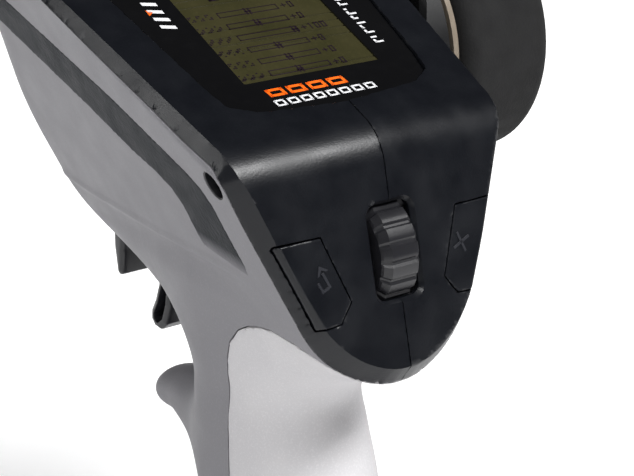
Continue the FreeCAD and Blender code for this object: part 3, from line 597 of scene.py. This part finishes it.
def wall_place(p):
    """Places on the side wall under points, and the depth of the points below it."""
    depth = halfspace(p, SIDE_POINT, SIDE_N)
    q = p - np.outer(depth, SIDE_N)
    return q[:, 1], q[:, 2], -depth


def inlay_opening(p, cut=None):
    """The inlay's outline, cut off at a place forwards, and the depth under the side wall."""
    y, z, depth = wall_place(p)
    edge = outline(y, z, INLAY)
    if cut is not None:
        edge = np.maximum(edge, y - cut)
    return edge, depth


def trigger_space(p):
    """The slot that the trigger swings in."""
    half_w, y, half_y, z, half_z = TRIGGER_SLOT
    along = np.maximum(np.abs(p[:, 0]) - half_w, np.abs(p[:, 1] - y) - half_y)
    return np.maximum(along, np.abs(p[:, 2] - z) - half_z)


def body_field(cut, bore):
    """One half of the light body; bore asks for the hole of the wheel's shaft."""
    def field(p):
        outer = body_form(p)
        skin = np.maximum(outer, -(outer + WALL))
        skin = soft_max(skin, MIDDLE_GAP - p[:, 0], ROUND["body_middle"])
        edge, depth = inlay_opening(p, cut)
        skin = np.maximum(skin, -np.maximum(edge + INLAY_LAP, depth - INLAY_DEPTH))
        skin = np.maximum(skin, -np.maximum(side_hole(p), depth - SIDE_HOLE_DEPTH))
        skin = soft_max(skin, -trigger_space(p), ROUND["trigger_slot"])
        pad = np.maximum(pad_region(p) - PAD_GAP, -(outer + PAD_RECESS))
        skin = np.maximum(skin, -pad)
        if bore:
            wheel = np.hypot(p[:, 1] - WHEEL_Y, p[:, 2] - WHEEL_Z) - WHEEL_BORE_R
            skin = np.maximum(skin, -np.maximum(wheel, WHEEL_BORE_INSIDE - p[:, 0]))
        return skin
    return field


def side_inlay_field(cut):
    """The inlay: a thin plate flush with the side wall."""
    def field(p):
        edge, _ = inlay_opening(p, cut)
        return soft_max(edge, np.abs(hull(p) + INLAY_MIDDLE) - INLAY_HALF, ROUND["inlay"])
    return field


def pad_field(p):
    """The rubber pad over the back of the grip."""
    outer = body_form(p) - PAD_PROUD
    return np.maximum(soft_max(outer, pad_region(p), ROUND["pad"]), -(outer + PAD_WALL))


def key_field(p):
    """The right-hand edge key."""
    outer = hull(p)
    return np.maximum(soft_max(outer, key_shape(p) + KEY_PLAY, ROUND["key"]), -(outer + WALL))


def cover_field(p):
    """The gloss screen cover with its window."""
    u, w = screen_uw(p)
    frame_edge = cover_outline(p, -0.1)
    window = rounded_box(p[:, 0], u, (0, WINDOW_U), WINDOW_HALF, 0.6)
    plate = soft_max(frame_edge, np.maximum(w - 1.1, -0.7 - w), 0.3)
    return np.maximum(plate, -window)


def trigger_field(p):
    """The two-way trigger: a hub, a front lobe, and a hook with a pocket in each side."""
    y, z = p[:, 1], p[:, 2]
    from_pin = np.hypot(y - TRIGGER_Y, z - TRIGGER_Z)
    lobe, hook = outline(y, z, FRONT_LOBE), outline(y, z, HOOK)
    lobes = soft_min(lobe, hook, ROUND["trigger_lobes"])
    profile = soft_min(from_pin - HUB_R, lobes, ROUND["trigger_hub"])
    solid = soft_max(profile, np.abs(p[:, 0]) - TRIGGER_HALF_W, ROUND["trigger_sides"])
    pocket = np.maximum(np.maximum(hook + POCKET_RIM, POCKET_FLOOR - np.abs(p[:, 0])), z - POCKET_TOP)
    return np.maximum(soft_max(solid, -pocket, ROUND["trigger_pocket"]), PIN_R - from_pin)


def lathe(stations, steps, dip_at=None, closed=False):
    """A surface round the X axis through stations of across and radius, capped or closed to a ring."""
    vertices, quads = [], []
    for i, (x, r) in enumerate(stations):
        for k in range(steps):
            a = 2 * math.pi * k / steps
            out = r - dip_at(i, k) if dip_at else r
            vertices.append((x, out * math.cos(a), out * math.sin(a)))
    count = len(stations)
    for i in range(count if closed else count - 1):
        here, there = i * steps, (i + 1) % count * steps
        for k in range(steps):
            n = (k + 1) % steps
            quads.append([here + k, there + k, there + n, here + n])
    if not closed:
        quads += [list(range(steps)), [(count - 1) * steps + k for k in reversed(range(steps))]]
    return np.array(vertices), quads


def build_roller():
    """The ribbed roller: flat teeth with slanting ends."""
    teeth, sunk = 18, 8.8
    dips = (0.0, 0.0, 0.0, 0.0, 0.0, 0.1, 0.5, 0.5)
    middle = BACK_ORIGIN + BACK_DOWN * (SLOT_TOP + SLOT_BOTTOM) / 2 - BACK_N * sunk

    def dip_at(station, k):
        dip = dips[k % len(dips)]
        return dip if 1 < station < 6 else dip * 0.25
    right = [(3.3, 12.0), (4.55, 10.5), (4.8, 9.9), (4.8, 3.0)]
    stations = [(-x, r) for x, r in reversed(right)] + right
    vertices, quads = lathe(stations, teeth * len(dips), dip_at)
    add_mesh("roller_drum", vertices + middle, quads, body="roller", slot_name="black_plastic",
             replaces=("menu_roller",), smooth=14.0)


def build_side_holes():
    """Dark liners in the two side holes."""
    across = unit(np.cross(SIDE_N, (0, 0, 1)))
    up = np.cross(SIDE_N, across)
    outer, inner = SIDE_HOLE_R - 0.02, 3.1
    stations = [(-0.15, outer), (-7.3, outer), (-7.3, 1.6), (-7.1, 1.6), (-7.1, inner), (-0.3, inner)]
    flat, quads = lathe(stations, 48, closed=True)
    vertices = side_hole_mouth() + flat[:, :1] * SIDE_N + flat[:, 1:2] * across + flat[:, 2:] * up
    add_mesh("side_liner_right", vertices, [q[::-1] for q in quads], slot_name="black_plastic")
    add_mesh("side_liner_left", vertices * (-1, 1, 1), quads, slot_name="black_plastic")


def glass_field(p):
    """The display's glass, just under the cover's window."""
    u, w = screen_uw(p)
    pane = rounded_box(p[:, 0], u, (0, WINDOW_U), (WINDOW_HALF[0] + 0.3, WINDOW_HALF[1] + 0.3), 0.8)
    return soft_max(pane, np.abs(w - 0.4) - 0.3, 0.2)


def build_mouldings():
    low, high = (-1, -46, 138), (49, 98, 246)
    right = mesh_field(head_field(0.0), low, high, 0.75)
    left = mesh_field(head_field(HALF_STEP), low, high, 0.75)
    add_pair("head_skin", "head_shell", right, left, slot_name="dark_shell")
    low, high = (-1.3, -45, 36.5), (48, 98, 246)
    right = mesh_field(body_field(POD_CUT, True), low, high, 0.95)
    left = mesh_field(body_field(None, False), low, high, 0.8)
    add_pair("body_skin", "body_shell", right, left, slot_name="light_shell")
    short = mesh_field(side_inlay_field(POD_CUT), (25, -22, 160), (48, 6, 220), 0.5)
    full = mesh_field(side_inlay_field(None), (25, -22, 160), (48, 84, 222), 0.6)
    add_pair("inlay", "side_inlay", short, full, slot_name="slate_inlay")
    field_piece("pad_skin", pad_field, (-24, -46, 36), (24, 8, 156), 0.8, slot_name="pad_rubber",
                replaces=("grip_pad",))
    mirror_pair("key_cap", key_field, (8, -46, 155), (32, -22, 185), 0.3,
                bodies=("clear_key", "back_key"), nodes=("clear_button", "back_button"),
                slot_name="dark_shell")
    field_piece("cover_plate", cover_field, (-37, -20, 195), (37, 70, 236), 0.45,
                slot_name="gloss_cover", replaces=("screen_cover",))
    field_piece("display_glass", glass_field, (-19, -8, 200), (19, 62, 232), 0.5,
                slot_name="display_face", replaces=("display_lens",))
    field_piece("trigger_lever", trigger_field, (-8, 44, 121), (8, 84, 172), 0.6, body="trigger_arm",
                slot_name="black_plastic", replaces=("trigger",))


build_mouldings()
build_roller()
build_side_holes()


# ---- materials -----------------------------------------------------------------------------
def link(tree, a, b):
    """Joins an output to an input."""
    tree.links.new(a, b)


def noise(tree, coords, size, detail=2.0, rough=0.5):
    """A noise texture whose features are about size millimetres across."""
    node = tree.nodes.new("ShaderNodeTexNoise")
    node.inputs["Scale"].default_value = 1.0 / (size * MM)
    node.inputs["Detail"].default_value = detail
    node.inputs["Roughness"].default_value = rough
    link(tree, coords, node.inputs["Vector"])
    return node.outputs["Fac"]


def remap(tree, value, low, high, start=0.3, end=0.7):
    """Maps start to low and end to high, and stops there."""
    node = tree.nodes.new("ShaderNodeMapRange")
    for name, number in (("From Min", start), ("From Max", end), ("To Min", low), ("To Max", high)):
        node.inputs[name].default_value = number
    link(tree, value, node.inputs["Value"])
    return node.outputs["Result"]


def mix_colours(tree, factor, first, second):
    """Two colours, each given as numbers or as an output, mixed by a factor."""
    node = tree.nodes.new("ShaderNodeMix")
    node.data_type = "RGBA"
    link(tree, factor, node.inputs["Factor"])
    for socket, colour in ((node.inputs[6], first), (node.inputs[7], second)):
        if isinstance(colour, tuple):
            socket.default_value = (*colour, 1.0)
        else:
            link(tree, colour, socket)
    return node.outputs[2]


def moulded(name, colour, other, roughness, grain, relief, mottle=9.0, spread=0.06):
    """Moulded plastic or rubber: spark grain in the surface, and uneven colour and gloss."""
    material = bpy.data.materials.new(name + "_finish")
    material.use_nodes = True
    tree = material.node_tree
    shader = tree.nodes["Principled BSDF"]
    coords = tree.nodes.new("ShaderNodeTexCoord").outputs["Object"]
    fine = noise(tree, coords, grain, 3.0, 0.6)
    broad = noise(tree, coords, mottle, 2.0)
    shade = mix_colours(tree, remap(tree, broad, 0.0, 1.0), colour, other)
    specks = remap(tree, fine, 0.0, 0.35, 0.5, 0.75)
    link(tree, mix_colours(tree, specks, shade, tuple(min(1.0, c * 1.4) for c in other)),
         shader.inputs["Base Color"])
    link(tree, remap(tree, broad, roughness - spread, roughness + spread), shader.inputs["Roughness"])
    bump = tree.nodes.new("ShaderNodeBump")
    bump.inputs["Strength"].default_value = 1.0
    bump.inputs["Distance"].default_value = relief * MM
    link(tree, fine, bump.inputs["Height"])
    link(tree, bump.outputs["Normal"], shader.inputs["Normal"])
    return material, tree, shader, coords


def painted_shade_fade(tree, shader, coords):
    """Painted shade: blends the inlay's colour softly into the light body's colour along its low rear edge.
    """
    height = tree.nodes.new("ShaderNodeSeparateXYZ")
    link(tree, coords, height.inputs[0])
    # painted shade: over this band of height the slate colour gives way to the light body's colour
    amount = remap(tree, height.outputs["Z"], 0.0, 1.0, 168.6 * MM, 173.0 * MM)
    inside = shader.inputs["Base Color"].links[0].from_socket
    link(tree, mix_colours(tree, amount, LIGHT_COLOUR, inside), shader.inputs["Base Color"])


LIGHT_COLOUR = (0.190, 0.186, 0.201)
# for each finish: its colour and the one it wanders to, roughness, size of the grain in millimetres,
# depth of the grain in millimetres; then, where they differ, size of the mottling and its spread
FINISHES = {
    "dark_shell": ((0.0040, 0.0046, 0.0066), (0.0056, 0.0064, 0.0088), 0.34, 0.55, 0.03),
    "light_shell": (LIGHT_COLOUR, (0.204, 0.200, 0.214), 0.46, 0.5, 0.02),
    "slate_inlay": ((0.0085, 0.0105, 0.0140), (0.0120, 0.0145, 0.0185), 0.5, 0.9, 0.16, 6.0),
    "pad_rubber": ((0.52, 0.51, 0.525), (0.56, 0.55, 0.56), 0.68, 0.45, 0.02, 14.0),
    "gloss_cover": ((0.003, 0.003, 0.0035), (0.004, 0.004, 0.0045), 0.09, 3.0, 0.0008, 20.0, 0.02),
    "display_face": ((0.026, 0.025, 0.0085), (0.038, 0.034, 0.0120), 0.35, 1.2, 0.002, 16.0),
    "inner_white": ((0.6, 0.6, 0.57), (0.66, 0.66, 0.62), 0.5, 0.6, 0.02),
    "circuit_board": ((0.01, 0.09, 0.03), (0.015, 0.12, 0.045), 0.35, 0.8, 0.01),
    "black_plastic": ((0.010, 0.010, 0.012), (0.014, 0.014, 0.017), 0.34, 0.5, 0.015),
    "grey_plastic": ((0.0052, 0.0054, 0.0060), (0.0068, 0.0070, 0.0076), 0.45, 0.5, 0.02),
    "rim_plastic": ((0.20, 0.165, 0.125), (0.24, 0.20, 0.155), 0.42, 0.5, 0.02),
    "foam_tyre": ((0.0030, 0.0030, 0.0033), (0.0046, 0.0045, 0.0048), 0.92, 0.7, 0.12, 5.0),
    "steel": ((0.50, 0.50, 0.51), (0.56, 0.56, 0.57), 0.30, 0.3, 0.003),
    "cell_wrap": ((0.10, 0.11, 0.13), (0.14, 0.15, 0.17), 0.30, 2.0, 0.004),
    "clear_lens": ((0.02, 0.02, 0.02), (0.03, 0.03, 0.03), 0.06, 4.0, 0.0006, 20.0, 0.02),
    "orange_print": ((0.95, 0.13, 0.005), (1.0, 0.16, 0.01), 0.4, 0.8, 0.002),
    "white_print": ((0.75, 0.76, 0.78), (0.8, 0.8, 0.82), 0.4, 0.8, 0.002),
    "display_ink": ((0.010, 0.005, 0.010), (0.014, 0.007, 0.012), 0.4, 0.8, 0.001),
    "key_relief": ((0.02, 0.021, 0.026), (0.024, 0.025, 0.03), 0.3, 0.4, 0.01),
    "floor": ((0.86, 0.86, 0.865), (0.88, 0.88, 0.885), 0.7, 6.0, 0.002, 300.0),
}
# settings of single shader inputs
SPECIAL = [("dark_shell", "Specular IOR Level", 0.34), ("light_shell", "Specular IOR Level", 0.3),
           ("slate_inlay", "Specular IOR Level", 0.08), ("steel", "Metallic", 1.0),
           ("cell_wrap", "Metallic", 0.4), ("clear_lens", "Alpha", 0.05),
           ("floor", "Emission Color", (1.0, 1.0, 1.0, 1.0)), ("floor", "Emission Strength", 0.30)]


def build_materials():
    """One material per finish, by the record's slot names."""
    made = {name: moulded(name, *values) for name, values in FINISHES.items()}
    for name, socket, value in SPECIAL:
        made[name][2].inputs[socket].default_value = value
    # painted shade along the inlay's low rear edge
    painted_shade_fade(*made["slate_inlay"][1:])
    return {name: parts[0] for name, parts in made.items()}


MATERIALS = build_materials()


def paint(piece, name):
    """Puts one material on every slot of an object."""
    if piece.material_slots:
        for socket in piece.material_slots:
            socket.material = MATERIALS[name]
    else:
        piece.data.materials.append(MATERIALS[name])
    return piece


# ---- printed and displayed marks -----------------------------------------------------------
INK_HEIGHTS, PRINT_HEIGHTS = (0.69, 0.74), (1.09, 1.13)     # above the display's plane
ICON_X, ICON_DOWN, ICON_U = 17.9, 13.2, -43.0               # icon's place on an edge key


def prism_mesh(outlines, place, low, high):
    """Closed prisms over flat outlines; place turns across, along and height into a point."""
    vertices, polygons = [], []
    for points in outlines:
        n, start = len(points), len(vertices)
        area = sum(a[0] * b[1] - b[0] * a[1] for a, b in zip(points, points[1:] + points[:1]))
        points = points if area > 0 else points[::-1]
        for height in (low, high):
            vertices += [place(x, y, height) for x, y in points]
        polygons.append([start + i for i in reversed(range(n))])
        polygons.append([start + n + i for i in range(n)])
        polygons += [[start + i, start + (i + 1) % n, start + n + (i + 1) % n, start + n + i]
                     for i in range(n)]
    return vertices, polygons


def bar(x0, x1, y0, y1, slant=0.0):
    """A bar's outline, its far end moved across by slant."""
    return [(x0, y0), (x1, y0), (x1 + slant, y1), (x0 + slant, y1)]


def ring(x0, x1, y0, y1, line, slant=0.0):
    """Four bars that make an open box."""
    return [bar(x0, x1, y0, y0 + line), bar(x0 + slant, x1 + slant, y1 - line, y1),
            bar(x0, x0 + line, y0, y1, slant), bar(x1 - line, x1, y0, y1, slant)]


def display_rows():
    """Six slider rows with their labels, as flat outlines across and along the display."""
    shapes = []
    for row in range(6):
        u = 0.35 + 4.5 * row
        long_one = row == 3
        knob = 5.3 if long_one else -1.8
        shapes += ring(-9.6, 6.1, u, u + 2.0, 0.26)
        shapes += [bar(knob - 0.7, knob - 0.35, u - 0.25, u + 2.3),
                   bar(knob + 0.2, knob + 0.55, u - 0.4, u + 2.1),
                   bar(knob - 0.9, knob + 0.8, u + 0.6, u + 1.2)]
        shapes += [bar(7.0, 8.5, u + 0.95, u + 1.25), bar(7.6, 7.9, u + 0.4, u + 1.8)]
        for k in range(3 if long_one else 1):
            x = 9.0 + 1.7 * k
            if long_one and k == 0:
                shapes.append(bar(x + 0.4, x + 0.7, u, u + 2.2))
            else:
                shapes += ring(x, x + 1.2, u, u + 2.2, 0.32)
        shapes += label_dots(row, u)
    return shapes


def label_dots(row, u):
    """A label's dots: an arbitrary pattern in three blocks, which says nothing."""
    dots = []
    for column in range(11):
        for line in range(4):
            if (column * 5 + line * 3 + row * 7) % 4 < 2 and column % 4 != 3:
                x = -17.1 + 0.55 * column
                dots.append(bar(x, x + 0.4, u + 0.55 * line, u + 0.55 * line + 0.4))
    return dots


def display_top():
    """Above the slider rows: a title, two lines, large boxes, signal bars and a battery sign."""
    shapes = []
    for k, wide in enumerate((3.4, 2.2, 3.8, 1.4, 3.0)):
        x = -8.6 + 3.9 * k
        shapes += ring(x, x + wide * 0.75, 29.4, 33.2, 0.75)
    shapes += [bar(-15.5, 15.5, 36.6, 36.9), bar(-15.5, 15.5, 52.6, 52.9)]
    for k in range(3):
        shapes += ring(-14.5 + 6.2 * k, -9.9 + 6.2 * k, 40.0, 49.5, 0.9)
    for k in range(4):
        shapes.append(bar(6.2 + 2.4 * k, 7.8 + 2.4 * k, 40.0, 42.0 + 2.2 * k))
    shapes += ring(-15.0, -8.0, 54.6, 58.2, 0.4) + [bar(-14.2, -10.2, 55.4, 57.4)]
    for k in range(4):
        shapes.append(bar(9.5 + 1.5 * k, 10.4 + 1.5 * k, 54.6, 55.6 + 0.85 * k))
    return shapes


def cover_marks():
    """Plain blocks, strokes and ticks printed on the screen cover: white ones and orange ones."""
    white, orange = [], []
    for k in range(4):
        x = -14.2 + 5.2 * k
        orange += ring(x, x + 4.2, -6.7, -4.1, 0.75, -0.3)
    for k in range(8):
        x = -14.4 + 3.3 * k
        white += ring(x, x + 2.5, -10.0, -7.9, 0.5, -0.2)
    for k in range(5):
        u = 21.2 + 3.0 * k
        white.append([(-24.8, u + 1.0), (-24.8, u + 2.2), (-21.4, u + 1.2), (-21.4, u)])
    orange.append([(-25.1, 29.3), (-23.7, 28.3), (-25.1, 27.2)])
    for k in range(12):
        u = 4.6 + 1.9 * k
        high = (2.3, 1.6, 2.3, 0.8)[k % 4]
        white.append(bar(20.6, 20.6 + high, u, u + 0.55))
        if k % 3 != 1:
            white.append(bar(20.6, 21.2, u, u + 1.3))
    for half, u in ((5.0, 62.0), (9.0, 66.0)):
        white.append(bar(-half, half, u, u + 0.4))
    return white, orange


def arrow_marks():
    """A generic return arrow for one key and a cross for the other, each about its middle."""
    tip = [(-2.8, 0.0), (-0.9, -1.5), (-0.9, -0.85), (-1.8, 0.0), (-0.9, 0.85), (-0.9, 1.5)]
    arrow = [bar(-1.0, 2.6, -0.3, 0.3), tip, bar(2.1, 2.7, 0.3, 2.2), bar(0.2, 2.1, 1.65, 2.2)]
    cross = [[(-1.9, -1.5 * side), (-1.5, -1.9 * side), (1.9, 1.5 * side), (1.5, 1.9 * side)]
             for side in (-1, 1)]
    return arrow, cross


def build_icon(name, body, shapes, side):
    """A key's raised icon, on the right key for side 1 and on the left key for side -1."""
    along = unit(screen(18.8, -47.7, -28.0) - screen(26.7, -36.6, -12.8))
    across = np.cross(HALF_N, along)
    middle = np.array((ICON_X, 0, 0)) + BACK_ORIGIN + BACK_DOWN * ICON_DOWN
    middle = middle - HALF_N * ((middle - on_face(ICON_X, ICON_U)) @ HALF_N)

    def place(x, y, height):
        return (middle + along * x + across * y + HALF_N * height) * (side, 1, 1)
    vertices, polygons = prism_mesh(shapes, place, -0.1, 0.16)
    if side < 0:
        polygons = [polygon[::-1] for polygon in polygons]
    icon = add_mesh(name, vertices, polygons, body=body, slot_name="dark_shell", smooth=20)
    paint(icon, "key_relief")


def build_marks():
    white, orange = cover_marks()
    sheets = [("display_marks", display_rows() + display_top(), INK_HEIGHTS, "display_face", "display_ink"),
              ("white_marks", white, PRINT_HEIGHTS, "gloss_cover", "white_print"),
              ("orange_marks", orange, PRINT_HEIGHTS, "gloss_cover", "orange_print")]
    for name, shapes, heights, slot_name, finish in sheets:
        piece = add_mesh(name, *prism_mesh(shapes, screen, *heights), slot_name=slot_name, smooth=20)
        paint(piece, finish)
    arrow, cross = arrow_marks()
    build_icon("clear_icon", "clear_key", cross, 1)
    build_icon("back_icon", "back_key", arrow, -1)


build_marks()


# ---- stage, light and camera ---------------------------------------------------------------
FLOOR_X, FLOOR_NEAR, FLOOR_FAR = 1.6, -0.55, 2.2        # metres, like all places below
CAMERA_PLACE = Vector((-211.44, -314.99, 312.95)) * MM
CAMERA_AIM = Vector((0.5273, 0.7685, -0.3626))
SENSOR, LENS = 36.0, 36.0 * 1800 / 634
HEAD, BODY = (-0.02, -0.02, 0.19), (0, 0, 0.14)         # what the lights aim at
# for each light: its place, aim, size and watts
LIGHTS = {"overhead": ((0.2, -0.62, 0.95), HEAD, (0.5, 0.22), 12.5),
          "corner": ((-0.55, -0.4, 1.0), HEAD, (0.3, 0.25), 3.5),
          "fill": ((-0.45, -1.1, 0.14), BODY, (0.45, 0.22), 2.3),
          "edge": ((-1.0, 0.2, 0.40), HEAD, (0.3, 0.16), 1.0),
          "front": ((-0.8, 0.38, 0.95), HEAD, (0.45, 0.35), 0.4),
          "bevel": ((-0.88, 0.46, 0.37), HEAD, (0.12, 0.25), 1.0),
          "side": ((1.0, -0.2, 0.35), (0, 0, 0.15), (0.12, 0.7), 1.0)}
SPOT_PLACE, SPOT_WATTS, SPOT_CONE = (0.42, 0.62, 0.95), 34, math.radians(72)


def build_stage():
    mesh = bpy.data.meshes.new("floor")
    x, y0, y1 = FLOOR_X, FLOOR_NEAR, FLOOR_FAR
    mesh.from_pydata([(-x, y0, 0), (x, y0, 0), (x, y1, 0), (-x, y1, 0)], [], [(0, 1, 2, 3)])
    floor = bpy.data.objects.new("floor", mesh)
    bpy.context.scene.collection.objects.link(floor)
    paint(floor, "floor")


def add_camera():
    data = bpy.data.cameras.new("camera")
    data.sensor_width, data.lens, data.clip_start = SENSOR, LENS, 0.01
    camera = bpy.data.objects.new("camera", data)
    camera.location = CAMERA_PLACE
    camera.rotation_euler = CAMERA_AIM.to_track_quat("-Z", "Y").to_euler()
    bpy.context.scene.collection.objects.link(camera)
    bpy.context.scene.camera = camera


def add_light(name, kind, place, power):
    data = bpy.data.lights.new(name, kind)
    data.energy = power
    light = bpy.data.objects.new(name, data)
    light.location = place
    bpy.context.scene.collection.objects.link(light)
    return light


def build_light():
    """A dim world, soft boxes round the handset, and a spot on the floor behind it."""
    world = bpy.data.worlds.new("studio")
    bpy.context.scene.world = world
    world.use_nodes = True
    background = world.node_tree.nodes["Background"]
    background.inputs["Color"].default_value = (1, 1, 1, 1)
    background.inputs["Strength"].default_value = 0.03
    for name, (place, aim, size, power) in LIGHTS.items():
        light = add_light(name, "AREA", place, power)
        light.data.shape, light.data.size, light.data.size_y = "RECTANGLE", *size
        light.rotation_euler = (Vector(aim) - Vector(place)).to_track_quat("-Z", "Y").to_euler()
    spot = add_light("backdrop", "SPOT", SPOT_PLACE, SPOT_WATTS).data
    spot.spot_size, spot.spot_blend, spot.shadow_soft_size = SPOT_CONE, 0.7, 0.1


build_stage()
build_light()
add_camera()


# ---- finishes on every piece and node, and the view transform --------------------------------
PIECE_FINISH = {"head_skin": "dark_shell", "body_skin": "light_shell", "inlay": "slate_inlay",
                "pad_skin": "pad_rubber", "key_cap": "dark_shell", "cover_plate": "gloss_cover",
                "trigger_lever": "black_plastic", "roller_drum": "black_plastic",
                "side_liner": "black_plastic", "display_glass": "display_face"}
for piece in bpy.context.scene.objects:
    for start, finish in PIECE_FINISH.items():
        if piece.type == "MESH" and piece.name.startswith(start):
            paint(piece, finish)
for part in frame["record"]["subparts"]:
    paint(frame["nodes"][part["node"]], part["material_slot"])
bpy.context.scene.view_settings.view_transform = "Standard"
